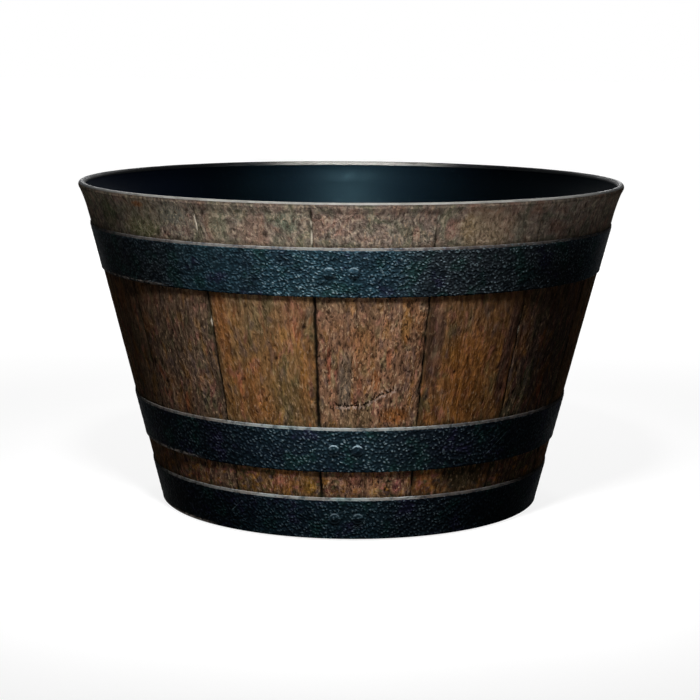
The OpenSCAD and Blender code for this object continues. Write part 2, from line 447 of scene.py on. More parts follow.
def wood_look():
    look = Look("moulded wood grain", 0.75, 0.0005)
    x, y, z = look.place()
    angle = angle_round_pot(look, x, y)
    turn = look.math("WRAP", (angle - math.radians(SEAM_TURN)) * (STAVES / (2 * math.pi)), STAVES, 0)
    stave = look.math("FLOOR", turn)
    across = look.math("FRACT", turn) * (math.radians(STAVE_DEG) * GRAIN_R * MM)
    chance = look.random(stave)
    spot = (stave + 0.5) * (1 / STAVES)

    def by_stave(colours):
        return look.ramp(spot, [(k / STAVES, colour) for k, colour in enumerate(colours)], steps=True)

    stave_colour = by_stave([srgb(*rgb) for rgb in STAVE_COLOURS])
    speckled, streaky, green = look.parts(by_stave([(*ways, 1) for ways in STAVE_WAYS]))
    speckled = speckled + z.between(0.118, 0.092) * 0.22

    # Grain coordinates, with each board's own lean, a slow wander and a quick waver
    board = stave * 5.31
    above_hoop = look.larger(z - TOP_GRAIN_FROM, 0)
    below_hoop = look.larger(LOW_GRAIN_TO - z, 0)
    run = z - below_hoop * 1.8 + above_hoop * 2.2
    wander = look.noise((across, z * 0.6, board), 40, 1)
    waver = look.noise((across, z * 0.5, board + 1.1), 110, 1)
    lean = (chance - 0.5) * 0.1
    grain_x = across + waver * 0.002 + wander * 0.01 + z * lean

    def grain(up, shift, *more):
        return look.noise((grain_x, up, board + shift), *more)

    streaks = grain(run * 0.11, 0, 230, 3, 0.6)
    fibres = grain(run * 0.2, 1.7, 620, 2, 0.6)
    veins = abs(grain(run * 0.2, 1.7, 330, 2, 0.5) - 0.5)
    flecks = grain(z * 0.38, 2.9, 660, 2, 0.55)
    hue = grain(run * 0.38, 12.2, 150, 2, 0.5)
    hue_too = grain(run * 0.38, 15.8, 190, 2, 0.5)
    mottle = grain(z * 0.42, 18.4, 300, 2, 0.55)
    warm = grain(z * 0.3, 9.3, 120, 2, 0.5, 0.3)
    patches = look.noise((across, z * 0.5, board + 4.1), 36, 3, 0.55, 0.4)
    grime = look.noise((across, z, board + 6.6), 60, 4, 0.6)

    top_part = z.between(*TOP_BAND)
    plain_top = z.between(*TOP_BAND, 1, 0.55)
    low_part = z.between(*LOW_BAND)

    colour = stave_colour.painted(patches.between(0.53, 0.7) * 0.55, 126, 80, 42)
    olive = patches.between(0.47, 0.32) * (green * 0.6 + 0.2)
    colour = colour.painted(olive, 80, 74, 50)
    red_spots = warm.between(0.62, 0.7) * patches.between(0.44, 0.52)
    colour = colour.painted(red_spots * 0.55, 140, 78, 50)
    # Small smudges of many hues
    motley = 0.42 - top_part * 0.16 + low_part * 0.45
    colour = colour.painted(hue.between(0.55, 0.66) * motley, 124, 86, 36)
    colour = colour.painted(hue.between(0.45, 0.34) * motley, 74, 78, 52)
    colour = colour.painted(hue_too.between(0.56, 0.68) * motley, 126, 78, 70)
    colour = colour.painted(hue_too.between(0.44, 0.32) * motley, 70, 60, 62)
    colour = colour.painted(low_part * 0.2, 104, 70, 48)
    colour = colour.painted(z.between(0.125, 0.165, 0, 0.22), 112, 90, 72)
    # Above the upper hoop the resin is greyer, in blotches of olive, slate and pink
    blotch = look.noise((across, z * 0.8, board + 21.2), 75, 3, 0.62, 0.8)
    blotches = look.tones(blotch, (0.34, 90, 91, 76), (0.45, 97, 92, 83), (0.55, 108, 95, 87),
                          (0.66, 118, 94, 83))
    colour = look.mix(top_part * 0.88, colour, blotches)
    # The patches at the front, each a soft oval on its own stave
    for rgb, at_angle, at_height, wide_deg, tall, strength in PATCHES:
        sideways = (angle - math.radians(at_angle)) * (1 / math.radians(wide_deg))
        upways = (z - at_height * MM) * (1 / (tall * MM))
        away = sideways * sideways + upways * upways + (streaks * 1.6 - 0.8)
        home = math.floor(((at_angle - SEAM_TURN) % 360) / STAVE_DEG)
        on_stave = look.math("COMPARE", stave, float(home), 0.5)
        colour = colour.painted(away.between(1.3, 0.2) * (0.95 * strength) * on_stave, *rgb)
    # Streaks, fibres and thin veins
    strong = 1.0 - top_part * 0.45
    colour = colour.shaded(streaks.between(0.32, 0.68, 0.55, 1.42), (streaky * 0.65 + 0.25) * strong)
    colour = colour.shaded(fibres.between(0.3, 0.7, 0.8, 1.2), strong)
    colour = colour.shaded(mottle.between(0.32, 0.68, 0.72, 1.3), strong)
    holes = grain(z * 0.75, 30.5, 230, 3, 0.6)
    colour = colour.shaded(holes.between(0.38, 0.6, 0.36, 1.16), low_part * 0.65)
    vein = veins.between(0.022, 0) * (0.3 - speckled * 0.22)
    colour = colour.painted(vein, 36, 27, 21)
    # Dark and pale flecks
    dark_fleck = flecks.between(0.43, 0.33) * (speckled * 0.6 + 0.18) * plain_top
    pale_fleck = flecks.between(0.57, 0.68) * (speckled * 0.5 + 0.14) * plain_top
    colour = colour.painted(dark_fleck, 32, 24, 19)
    colour = colour.painted(pale_fleck, 158, 130, 102)

    # Short specks and pale curls on the band above the upper hoop
    specks = grain(z * 0.6, 24.7, 450, 2, 0.6, 0.4)
    colour = colour.painted(specks.between(0.45, 0.37, 0, 0.62) * top_part, 56, 47, 41)
    colour = colour.painted(specks.between(0.55, 0.63, 0, 0.48) * top_part, 158, 142, 122)
    curl = abs(look.noise((across, z * 0.55, board + 27.3), 125, 2, 0.6, 1.6) - 0.5)
    curl = curl.between(0.02, 0.004) * angle.between(-0.3, -0.7, 0.12, 0.55)
    colour = colour.painted(curl * top_part, 150, 140, 116)

    # The crack across the front stave, a chain of chips
    crack_x = angle.between(math.radians(SEAM_TURN - STAVE_DEG), math.radians(SEAM_TURN), kind="LINEAR")
    crack_z = look.curve(crack_x, CRACK_LINE)
    crack_here = crack_x.between(0.16, 0.19) * crack_x.between(0.78, 0.73)
    jag = look.noise((across, 0, 0.3), 460, 3, 0.75)
    crack_at = jag * CRACK_JAG + CRACK_LOW + crack_z * CRACK_RISE
    above_crack = z - crack_at
    broken = look.noise((across, z * 0.6, 8.1), 330, 2, 0.6)
    near_crack = abs(above_crack + 0.0006).between(0.0042, 0.0012) * crack_here
    crack = abs(above_crack).between(0.0011, 0.0003) * broken.between(0.42, 0.52)
    crack = look.larger(crack * crack_here, near_crack * flecks.between(0.45, 0.36) * 0.55)
    crack_lip = abs(above_crack + 0.0016).between(0.0012, 0.0003)
    crack_lip = crack_lip * crack_here * broken.between(0.6, 0.46)
    crack_lip = look.larger(crack_lip, near_crack * flecks.between(0.55, 0.64) * 0.7)
    colour = colour.painted(crack_lip * 0.7, 164, 142, 130)
    colour = colour.painted(crack * 0.9, 20, 15, 12)

    # Hollows and seams are painted dark, darker beside the seams, and chipped edges are pale
    pit, seam, chip, seam_near = [look.attribute(name) for name in ("pit", "seam", "chip", "seam_near")]
    colour = colour.painted(pit * 0.9, 20, 14, 11)
    near_seam = seam_near * grime.between(0.3, 0.62)
    colour = colour.painted(near_seam * (0.75 - top_part * 0.4), 34, 32, 23)
    colour = colour.painted(seam * (0.97 - top_part * 0.18), 12, 11, 8)
    colour = colour.painted(chip * 0.85, 172, 162, 146)
    # Grime along the hoops' top edges
    for edge in (high * MM for low, high in HOOPS.values()):
        by_edge = (z - grime * 0.006).between(edge + 0.001, edge - 0.003)
        above = z.between(edge - 0.001, edge - 0.0009)
        colour = colour.painted(by_edge * above * 0.5, 36, 36, 26)

    # Painted light and shade below the rim: the wall is painted paler up to the lip, against the shade under
    # the bead, and darker where the wood runs out onto the bead, against the stronger light there
    lip_light_and_shade = z.between(0.208, 0.2265, 0.94, 1.16) * z.between(0.2276, 0.2284, 1, 0.62, kind="LINEAR")
    colour = colour.shaded(lip_light_and_shade * z.between(0.2288, 0.2302, 1, 0.35, kind="LINEAR"))

    height = fibres * 0.45 + flecks * (speckled * 0.7 + 0.4) + streaks * 0.5 - crack
    height = height - veins.between(0.05, 0) * (speckled * 0.2 + 0.08)
    normal = look.bump(height, 0.0008)
    roughness = (flecks + pit * 0.3).between(0.3, 0.8, 0.58, 0.84)
    return look.finish(colour, roughness, normal)


def rim_look():
    look = Look("worn rim with painted highlight", 0.5, 0.006)
    x, y, z = look.place()
    wear = look.noise((x, y, z * 2), 70, 5, 0.65)
    fine = look.noise((x, y, z), 700, 3, 0.6)
    # The crest's pale grey is partly wear and partly a painted highlight at the front
    colour = look.tones(wear, (0.3, 68, 67, 64), (0.48, 90, 89, 86), (0.7, 102, 101, 98))
    colour = colour.painted(fine.between(0.58, 0.72) * 0.5, 48, 44, 40)
    away = from_axis(look, x, y)
    # The bead's inner side takes the inside's dark colour, over a wider band at the sides and back, and the
    # crest away from the front is darkened too: painted shade. The middle of the back is left pale, a
    # painted highlight.
    limit = y.between(-0.165, -0.1, 0.1908, 0.1926)
    inner = away.between(limit, limit + 0.0016, 0.88, 0)
    rear_highlight = y.between(0.15, 0.175) * abs(x - 0.006).between(0.09, 0.045)
    dark_inner_and_side_shade = look.larger(inner, y.between(-0.17, -0.05, 0, 0.88))
    colour = colour.painted(dark_inner_and_side_shade * (1.0 - rear_highlight * 0.8), 20, 24, 28)
    normal = look.bump(fine, 0.0002, 0.5)
    return look.finish(colour, wear.between(0.3, 0.7, 0.4, 0.58), normal)


def inside_look():
    look = Look("smooth black resin", 0.38, 0.012, srgb(172, 232, 250))
    x, y, z = look.place()
    cloud = look.noise((x, y, z), 9, 4, 0.55)
    scuffs = look.noise((x * 4, y * 4, z), 55, 4, 0.65, 0.6)
    dust = look.noise((x, y, z), 900, 2, 0.6)
    colour = look.tones(cloud, (0.3, 2, 5, 9), (0.7, 4, 10, 14))
    colour = colour.painted(x.between(-0.09, -0.15, 0, 0.7), 5, 13, 28)
    colour = colour.painted(scuffs.between(0.6, 0.74) * 0.16, 26, 38, 42)
    on_floor = z.between(0.02, 0.0112)
    colour = colour.painted(on_floor * cloud.between(0.4, 0.65, 0.1, 0.4), 46, 43, 38)
    normal = look.bump(dust + scuffs * 0.5, 0.0001, 0.5)
    return look.finish(colour, (scuffs + dust * 0.3).between(0.4, 0.9, 0.34, 0.46), normal)


def hammered(look, x, y, z):
    """Height and colour of the hammered black surface, its colour with painted highlights and painted shade,
    and a slow noise for its gloss.
    """
    angle = angle_round_pot(look, x, y)
    run = angle * (HOOP_RUN_R * MM)
    upper = z.between(*UPPER_HOOP_BAND)
    cloud = look.noise((x, y, z), 22, 4, 0.6)
    tint = look.noise((x, y, z + 3), 60, 3, 0.6)
    calm = look.noise((x, y, z + 5), 9, 2, 0.5)
    # Small beads that lean a little, larger below the upper hoop, which is smoother in places
    sway = look.noise((run, z, 0), 210, 2, 0.6)
    sway_too = look.noise((run, z, 4), 210, 2, 0.6)
    across = run + z * 0.4 + sway * 0.0036
    up = z - run * 0.2 + sway_too * 0.0032
    finer = upper * 0.22 + 0.87
    from_bead, which = look.cells((across * 0.92 * finer, up * finer, 0), 450, 0.95)
    lumps = look.noise((across * 0.9, up, 0.4), 330, 2, 0.6)
    uneven = (lumps - 0.5) * (upper * 0.45 + 0.65)
    bead = uneven + from_bead.between(0.58, 0.05) * (which * 0.7 + 0.2)
    left = angle.between(-0.18, -0.5) * y.between(*FRONT_HALF)
    smoother = look.larger(left, calm.between(0.56, 0.64)) * upper
    colour = look.tones(cloud, (0.32, 25, 33, 44), (0.5, 25, 41, 49), (0.66, 31, 48, 55))
    # The upper hoop gets a lighter copy of the same colours, painted light where more light falls
    lighter_upper_copy = look.tones(cloud, (0.32, 38, 54, 64), (0.5, 36, 58, 68), (0.66, 44, 65, 73))
    colour = look.mix(upper, colour, lighter_upper_copy)
    # Away from a window at the front the colour turns greyer and darker, painted side shade
    grey_side_shade = look.larger(angle.between(0.08, 0.32), angle.between(upper * -0.2 - 0.34, -0.8))
    grey_side_shade = grey_side_shade * calm.between(0.4, 0.6, 0.8, 0.45) * y.between(0, 0.09, 1, 0.3)
    colour = look.mix(grey_side_shade, colour, look.mix(upper, srgb(21, 22, 26), srgb(41, 43, 45)))
    colour = colour.painted(tint.between(0.53, 0.66) * 0.6, 24, 52, 46)
    colour = colour.painted(tint.between(0.44, 0.32) * 0.7, 36, 32, 56)
    # Tops of the beads are painted paler as highlights, dimmer away from the front and on the base hoop as
    # painted shade, and the hollows are painted black as shade
    highlight_share = cloud.between(0.36, 0.72, 0.6, 0.98) * (1.0 - smoother * 0.6)
    away_from_front_shade = abs(angle - 0.02).between(0.18, 0.75) * y.between(*FRONT_HALF)
    highlight_share = highlight_share * (away_from_front_shade * (1.0 - upper)).between(0, 1, 1, 0.42)
    highlight_tops = look.mix(upper, srgb(104, 119, 124), srgb(98, 113, 119))
    highlight_tops = highlight_tops.painted(z.between(0.045, 0.03, 0, 0.45), 50, 62, 70)
    dots = (from_bead - uneven * 0.5).between(0.36, 0.08) * which.between(0.28, 0.95, 0.06, 0.95)
    crowns = look.mix(upper, dots, bead.between(0.32, 0.84))
    colour = look.mix(crowns * highlight_share, colour, highlight_tops)
    worn_patch = look.noise((run, z * 1.2, 9), 75, 3, 0.6)
    colour = colour.painted(worn_patch.between(0.52, 0.36) * 0.55, 12, 20, 27)
    colour = colour.painted(bead.between(0.3, 0.02) * 0.6, 7, 11, 16)
    # Painted shade: darker towards the bottom, away from the front (most on the lower hoops) and a little on
    # the upper hoop's left
    low_and_side_shade = z.between(0.01, 0.07, 0.62, 1.08) * (away_from_front_shade * (upper * 0.18 - 0.46) + 1)
    low_and_side_shade = low_and_side_shade * (upper * angle.between(-0.12, -0.45)).between(0, 1, 1, 0.94)
    colour = colour.shaded(low_and_side_shade)
    return bead * (1.0 - smoother * 0.5), colour, cloud


def hoop_look():
    look = Look("hammered black", 0.42, 0.0005, srgb(180, 225, 255))
    x, y, z = look.place()
    here = (x, y, z)
    bead, colour, cloud = hammered(look, x, y, z)
    fine = look.noise(here, 1100, 2, 0.55)
    angle = angle_round_pot(look, x, y)
    run = angle * (HOOP_RUN_R * MM)
    # Fine scratches in two directions
    for tilt, part in ((0.9, 2), (-0.7, 7)):
        along = z + run * tilt
        cross = z - run * (1 / tilt)
        line = look.noise((along, cross * 0.035, part), 420, 2, 0.5)
        mask = look.noise((x, y, z + part), 26, 2).between(0.52, 0.66)
        colour = colour.painted(line.between(0.66, 0.72) * mask * 0.35, 84, 100, 104)
    # The very top of the bevel is a pale grey line, partly worn paint and partly a painted highlight,
    # thinner on the upper hoop
    edge = look.attribute("edge")
    chips = look.noise((x, y, z * 1.6), 170, 4, 0.7)
    upper = z.between(*UPPER_HOOP_BAND)
    start = upper * 0.26 + 0.46
    highlight_line = edge.between(start, start + 0.28) * chips.between(0.34, 0.56, 0.25, 1)
    stain = look.noise(here, 45, 3, 0.6)
    pale = look.tones(stain, (0.3, 100, 92, 84), (0.5, 122, 124, 122), (0.75, 104, 118, 116))
    pale = look.mix(upper, pale, look.tones(chips, (0.35, 98, 86, 84), (0.6, 106, 106, 102)))
    # That line is weaker and browner away from the front, painted shade
    turned_shade = look.larger(angle.between(0.2, 0.5), angle.between(-0.42, -0.78, 0, 0.75))
    turned_shade = turned_shade * y.between(*FRONT_HALF)
    pale = pale.painted(turned_shade * 0.6, 96, 82, 74)
    colour = look.mix(highlight_line * (0.9 - turned_shade * 0.52), colour, pale)
    # The lower edge is painted pale in places: at the far left a painted highlight, and at the back
    below = look.attribute("under") * chips.between(0.4, 0.54)
    pale_edge_here = look.larger(y.between(0.02, 0.06, 0, 0.7), angle.between(-0.7, -0.88))
    colour = colour.painted(below * pale_edge_here * 0.8, 140, 130, 122)
    normal = look.bump(bead * edge.between(0.9, 0.1) + fine * 0.1, 0.0008)
    roughness = (cloud + highlight_line * 0.5).between(0.35, 0.9, 0.36, 0.62)
    return look.finish(colour, roughness, normal)


def rivet_look():
    look = Look("satin black", 0.4, 0.001, srgb(180, 225, 255))
    x, y, z = look.place()
    bead, colour, cloud = hammered(look, x, y, z)
    fine = look.noise((x, y, z), 620, 2, 0.6)
    # The upper edge of each head is painted pale, a painted highlight, strongest on the middle hoop
    brow = look.attribute("brow")
    highlight_line = brow * fine.between(0.36, 0.52, 0.6, 0.92)
    highlight_line = highlight_line * (z.between(*ABOVE_BASE_HOOP, 0.28, 1) * z.between(*UPPER_HOOP_BAND, 1, 0.45))
    colour = colour.painted(highlight_line, 122, 138, 146)
    # The lower half is painted paler, painted light in the shade under each head
    colour = colour.painted(look.attribute("foot") * z.between(*ABOVE_BASE_HOOP, 0.85, 0.6), 52, 66, 75)
    normal = look.bump(bead * (1.0 - brow * 0.8) + fine * 0.15, 0.0006)
    return look.finish(colour, cloud.between(0.3, 0.7, 0.34, 0.48), normal)


def rubber_look():
    look = Look("black rubber", 0.7, 0.3)
    x, y, z = look.place()
    here = (x, y, z)
    cloud = look.noise(here, 120, 4, 0.6)
    fine = look.noise(here, 1500, 3, 0.6)
    colour = look.tones(cloud, (0.3, 24, 24, 25), (0.7, 44, 43, 41))
    colour = colour.painted(fine.between(0.58, 0.74) * 0.5, 84, 80, 74)
    normal = look.bump(fine, 0.00015, 0.6)
    return look.finish(colour, cloud.between(0.3, 0.7, 0.62, 0.82), normal)


# Relief of the shell's outside

# Small hollow knots: angle from the front in degrees, height, half width
KNOTS = [
    (-20.5, 44, 1.1), (-13, 38, 0.9), (3, 42.5, 0.8), (9.5, 37, 0.8), (-9.8, 150.5, 1.2), (-16.5, 128, 1.3),
    (-8.3, 144.5, 1), (24.5, 118, 1.1), (-44, 139, 1.2), (70, 120, 1.4), (101, 150, 1.2), (148, 112, 1.5),
    (-160, 141, 1.3), (-120, 126, 1.4), (-88, 155, 1.2),
]
# Pale chips on seams: the seam's angle from the front, height, length
CHIPS = [
    (-7.4, 209.5, 6), (-7.4, 218.5, 2.5), (40.6, 143, 5), (40.6, 131, 4), (40.6, 152, 3), (-31.4, 216, 7),
    (-31.4, 150, 3), (16.6, 222, 2.5), (88.6, 140, 5), (112.6, 215, 5), (160.6, 128, 4), (-151.4, 149, 5),
    (-103.4, 211, 5), (-79.4, 120, 4),
]
# How wide and dark each seam is, from the seam right of the front and on round the pot
SEAM_WEIGHTS = [0.46, 0.34, 0.9, 0.7, 1, 0.8, 0.66, 0.92, 1, 0.72, 0.85, 0.66, 0.42, 0.52, 0.96]
# How many columns of points the outside has for each one of the inside
COLUMNS_PER_FEW = 5
BEAD_STEPS = 14
# Half the angle between the points at each side of a water gap
GAP_SIDE = 0.0015
WOOD_SLOT, RIM_SLOT, INSIDE_SLOT = 0, 1, 2
SEAM_DEPTH = 1.3
SEAM_HALF_W = 1.25
PIT_DEPTH = 0.5
# Heights between which the staves' relief gives way to the shallower one above the upper hoop
TOP_RELIEF = (199, 204)


def shell_relief(turn, z):
    """Depth below the smooth wall at turn degrees past the first seam, and masks for the material."""
    stave = np.floor(turn / STAVE_DEG).astype(np.int64) % STAVES
    local = turn % STAVE_DEG
    r = wall_r(z)
    seam_number = np.round(turn / STAVE_DEG).astype(np.int64) % STAVES
    drift = 0.34 * noise(z / 9, seam_number * 3.1, 13) + 0.2 * noise(z / 3.4, seam_number * 9.7, 14)
    side = np.where(local < STAVE_DEG / 2, 1, -1)
    to_seam = np.abs(np.radians(np.minimum(local, STAVE_DEG - local)) * r - drift * side)
    across = np.radians(local) * GRAIN_R + 977 * stave
    rough = np.array([w[0] for w in STAVE_WAYS])[stave]
    top = smooth(*TOP_RELIEF, z)

    weight = np.array(SEAM_WEIGHTS)[seam_number]
    uneven = 0.28 * noise(z / 6, seam_number * 7.3, 11) + 0.15 * noise(z / 2.6, seam_number * 5.1, 12)
    wide = (SEAM_HALF_W - 0.45 * top) * (1 + uneven) * (0.35 + 0.65 * weight)
    filled = noise(z / 5, seam_number * 2.3, 15) + 0.4 * noise(z / 1.9, seam_number * 4.9, 16)
    whole = weight + (1 - weight) * smooth(-0.35, 0.35, filled)
    seam = (1 - smooth(0.25 * wide, 1.15 * wide, to_seam)) * whole
    depth = (SEAM_DEPTH - 0.45 * top) * seam
    depth = depth + 0.24 * np.exp(-to_seam / 2) * (1 - seam)
    depth = depth + 0.1 + 0.1 * lattice(stave, 3, 21)
    depth = depth + 0.14 * (layered(across / 21, z / 46, 31) * 0.5 + 0.5)
    furrow = smooth(0.1, 0.55, layered(across / 5.2, z / 34, 41))
    depth = depth + (0.2 + 0.12 * rough) * furrow
    depth = depth + (0.06 + 0.2 * rough) * (layered(across / 3.4, z / 6.2, 51, 2) * 0.5 + 0.5)

    d, chance = spots(across / 7, z / 12, 61)
    pit = (1 - smooth(0.05, 0.2, d)) * (chance < 0.06 + 0.16 * rough) * smooth(2, 3.5, to_seam)
    front = (turn + SEAM_TURN + 180) % 360 - 180
    for a, height, half in KNOTS:
        d = np.hypot(np.radians(front - a) * r, (z - height) * 0.75)
        pit = np.maximum(pit, 1 - smooth(0.55 * half, 1.5 * half, d))
    depth = depth + PIT_DEPTH * pit

    chip = np.zeros_like(depth)
    for a, height, length in CHIPS:
        sideways = np.radians((front - a + 180) % 360 - 180) * r
        ragged = 0.35 * noise(z / 2.2, height, 71)
        d = np.hypot((sideways + 0.3 + ragged) / 0.8, (z - height) / length)
        chip = np.maximum(chip, 1 - smooth(0.45, 1, d))
    seam_near = np.exp(-np.maximum(0, to_seam - 0.9) / 1.6)
    return depth, {"seam": seam, "pit": pit, "chip": chip, "seam_near": seam_near}


def make_shell():
    by_seam = [0.0, 0.12, 0.24, 0.36, 0.5, 0.68]
    plain = np.linspace(by_seam[-1], STAVE_DEG - by_seam[-1], 59)[1:-1]
    one = np.concatenate([by_seam, plain, [STAVE_DEG - d for d in by_seam[:0:-1]]])
    turns = np.concatenate([STAVE_DEG * k + one for k in range(STAVES)])
    angles = np.radians(turns + SEAM_TURN)
    few = angles[::COLUMNS_PER_FEW]

    # Rings outside, close together where staves show and far apart under the hoops
    heights = np.concatenate([
        [EDGE_LIFT, 16, 29.5], np.arange(31, 50.6, 1.75), [52.5, 66, 79.5],
        np.arange(81, 94, 1.9), np.arange(94.4, 113, 1.35), np.arange(114.3, 171, 2),
        [173, 187, 201], np.arange(202.4, LIP_Z - 0.8, 1.8), [LIP_Z],
    ])
    tt, zz = np.meshgrid(turns, heights)
    depth, masks = shell_relief(tt, zz)
    fade = smooth(LIP_Z, LIP_Z - 1.6, zz) * smooth(EDGE_LIFT, EDGE_LIFT + 4, zz)
    points = [ring_points(angles, wall_r(zz) - depth * fade, zz).reshape(-1, 3)]
    rings = [(k * len(turns), len(turns)) for k in range(len(heights))]
    kinds = [WOOD_SLOT] * (len(heights) - 1)

    def add_ring(r, z, at=few, kind=INSIDE_SLOT):
        rings.append((sum(len(p) for p in points), len(at)))
        points.append(ring_points(at, r, z))
        kinds.append(kind)

    # The bead of the rim
    wobble = 0.05 * noise(turns / 360 * 60, 0, 81, 60)
    for i in range(1, BEAD_STEPS + 1):
        a = BEAD_START + (BEAD_END - BEAD_START) * i / BEAD_STEPS
        step = 1 if i <= BEAD_STEPS - 4 else COLUMNS_PER_FEW
        size = BEAD_R - 0.13 + wobble[::step]
        kind = WOOD_SLOT if i <= 4 else RIM_SLOT if i < BEAD_STEPS else INSIDE_SLOT
        add_ring(BEAD_X + size * math.cos(a), BEAD_Z + size * math.sin(a), angles[::step], kind)

    # Down the inside, along the floor, through the drain hole and out to the foot
    def inner(z):
        return float(wall_r(np.array(z))) - WALL_T

    corner_z = FLOOR_Z + FLOOR_FILLET
    corner_x = inner(corner_z) - FLOOR_FILLET
    corner = [-math.pi / 2 * i / 6 for i in range(7)]
    foot_out = float(wall_r(np.array(EDGE_LIFT))) - FOOT_INSET
    foot_in = foot_out - FOOT_W
    for r, z in [
        *((inner(z), z) for z in (215, 190, 150, 110, 70, 40)),
        *((corner_x + FLOOR_FILLET * math.cos(a), corner_z + FLOOR_FILLET * math.sin(a)) for a in corner),
        *((r, FLOOR_Z) for r in (90, 55, 30, 16, DRAIN_R + 0.8)),
        (DRAIN_R, FLOOR_Z - 0.8), (DRAIN_R, FOOT_H + 0.6), (DRAIN_R + 0.6, FOOT_H),
        *((r, FOOT_H) for r in (30, 70, foot_in - 1)),
    ]:
        add_ring(r, z)

    def foot_ring(r, low, high):
        """A ring of the foot, at height high in the water gaps and at low beside them."""
        a = few.copy()
        z = np.full(len(a), float(low))
        half = math.asin(GAP_W / 2 / r)
        for k in range(GAP_COUNT):
            middle = 2 * math.pi * (k + 0.5) / GAP_COUNT
            away = (a - middle + math.pi) % (2 * math.pi) - math.pi
            z[np.abs(away) < half] = high
            for side in (-1, 1):
                gap = away * side - half
                last_in = np.argmax(np.where(gap < 0, gap, -9))
                first_out = np.argmin(np.where(gap >= 0, gap, 9))
                a[last_in] = middle + side * (half - GAP_SIDE)
                a[first_out] = middle + side * (half + GAP_SIDE)
        add_ring(r, z, a)

    foot_ring(foot_in, FOOT_H - 0.8, FOOT_H - 0.8)
    foot_ring(foot_in, 0.5, GAP_H)
    foot_ring(foot_in + 0.5, 0, GAP_H)
    foot_ring(foot_out - 0.5, 0, GAP_H)
    foot_ring(foot_out, 0.5, GAP_H)
    add_ring(foot_out, EDGE_LIFT + 2.2)

    faces, slots = [], []
    kinds.append(INSIDE_SLOT)
    for (a, na), (b, nb), kind in zip(rings, rings[1:] + rings[:1], kinds):
        made = quads_between(a, b, na).tolist() if na == nb else fan_between(a, na, b, nb)
        faces += made
        slots += [kind] * len(made)
    points = np.concatenate(points)
    marks = {key: np.zeros(len(points)) for key in masks}
    for key, mask in masks.items():
        marks[key][:mask.size] = (mask * fade).ravel()
    return make_piece("pot_shell_looks", points, faces, [WOOD, RIM, INSIDE], slots, marks, sharp=55)


def fan_between(a, na, b, nb):
    """Triangles between two rings, where one has a whole number of points for each of the other's."""
    flip = na < nb
    if flip:
        a, na, b, nb = b, nb, a, na
    few = na // nb
    faces = []
    for k in range(nb):
        n = (k + 1) % nb
        half = few // 2 + 1
        for s in range(few):
            p, q = a + (k * few + s) % na, a + (k * few + s + 1) % na
            tip = b + k if s < half else b + n
            faces.append((p, q, tip))
        faces.append((a + (k * few + half) % na, b + n, b + k))
    if flip:
        faces = [f[::-1] for f in faces]
    return faces


# Distance between the points of a hoop, and distance and height of its hammered dots
HOOP_STEP = 0.8
DOT_PITCH = 2.9
DOT_H = 0.26


def make_hoop(name, low, high):
    middle_r = float(wall_r(np.array((low + high) / 2)))
    count = int(2 * math.pi * middle_r / HOOP_STEP)
    cells_round = int(2 * math.pi * middle_r / DOT_PITCH)
    angles = np.arange(count) * 2 * math.pi / count
    seed = 100 + 10 * list(HOOPS).index(name)
    top_flat = high - BEVEL_H
    face = np.linspace(low + 0.35, top_flat, int((top_flat - low) / HOOP_STEP) + 1)
    bevel = np.linspace(top_flat, high - 0.1, 5)[1:]
    heights = np.concatenate([face, bevel])
    uu, zz = np.meshgrid(angles / (2 * math.pi), heights)
    warp = 0.35 * noise(uu * cells_round / 3, zz / 8.5, seed + 5, cells_round // 3)
    d, chance = spots(uu * cells_round + warp, zz / DOT_PITCH + warp, seed, cells_round)
    rise = np.clip(1 - (d / 0.72) ** 2, 0, 1) * (0.45 + 0.55 * chance)
    flat = smooth(high - 0.6, top_flat - 0.8, zz) * smooth(low + 0.2, low + 1.6, zz)
    sway = 0.07 * noise(uu * 24, zz / 30, seed + 6, 24)
    nick = 0.10 * (noise(uu * 400, zz / 1.6, seed + 7, 400) * 0.5 + 0.5)
    thick = np.interp(zz, [low, top_flat, high], [HOOP_T, HOOP_T, BEVEL_EDGE])
    inward = DOT_H * (1 - rise) * flat + (0.07 + sway) * flat + nick * (1 - flat)
    radius = wall_r(zz) + HOOP_GAP + np.maximum(thick - inward, 0.2)
    back_low, back_high = wall_r(low) + HOOP_GAP, wall_r(high) + HOOP_GAP
    points = [
        ring_points(angles, back_low, low), ring_points(angles, back_low + HOOP_T - 0.35 - inward[0], low),
        *ring_points(angles, radius, zz),
        ring_points(angles, back_high + 0.12, high), ring_points(angles, back_high, high),
    ]
    none = np.zeros(count)
    edge = smooth(top_flat - 0.3, top_flat + 0.5, zz)
    under = smooth(low + 2.3, low + 1.2, zz)
    marks = {
        "edge": np.concatenate([none, none, edge.ravel(), none + 1, none + 1]),
        "under": np.concatenate([none, none + 1, under.ravel(), none, none]),
    }
    faces = []
    for k in range(len(points)):
        faces += quads_between(k * count, (k + 1) % len(points) * count, count).tolist()
    return make_piece(name + "_looks", np.concatenate(points), faces, [HOOP], None, marks, sharp=60)


def turned_ring(profile, columns, wobble=0.0, seed=0):
    """Points and faces of a solid turned from (radius, height) points that start and end on the axis."""
    angles = np.arange(columns) * 2 * math.pi / columns
    points, rings = [], []
    for k, (r, z) in enumerate(profile):
        start = sum(len(p) for p in points)
        if r < 1e-6:
            points.append(np.array([[0.0, 0.0, z]]))
            rings.append((start, 1))
            continue
        w = wobble * noise(angles / (2 * math.pi) * 12, k * 0.6, seed, 12)
        points.append(ring_points(angles, r + w * min(1, r), z))
        rings.append((start, columns))
    faces = []
    for (a, na), (b, nb) in zip(rings[:-1], rings[1:]):
        k = np.arange(columns)
        n = (k + 1) % columns
        if na == 1:
            faces += [(a, b + int(j), b + int(i)) for i, j in zip(k, n)]
        elif nb == 1:
            faces += [(a + int(i), a + int(j), b) for i, j in zip(k, n)]
        else:
            faces += quads_between(a, b, columns).tolist()
    return np.concatenate(points), faces


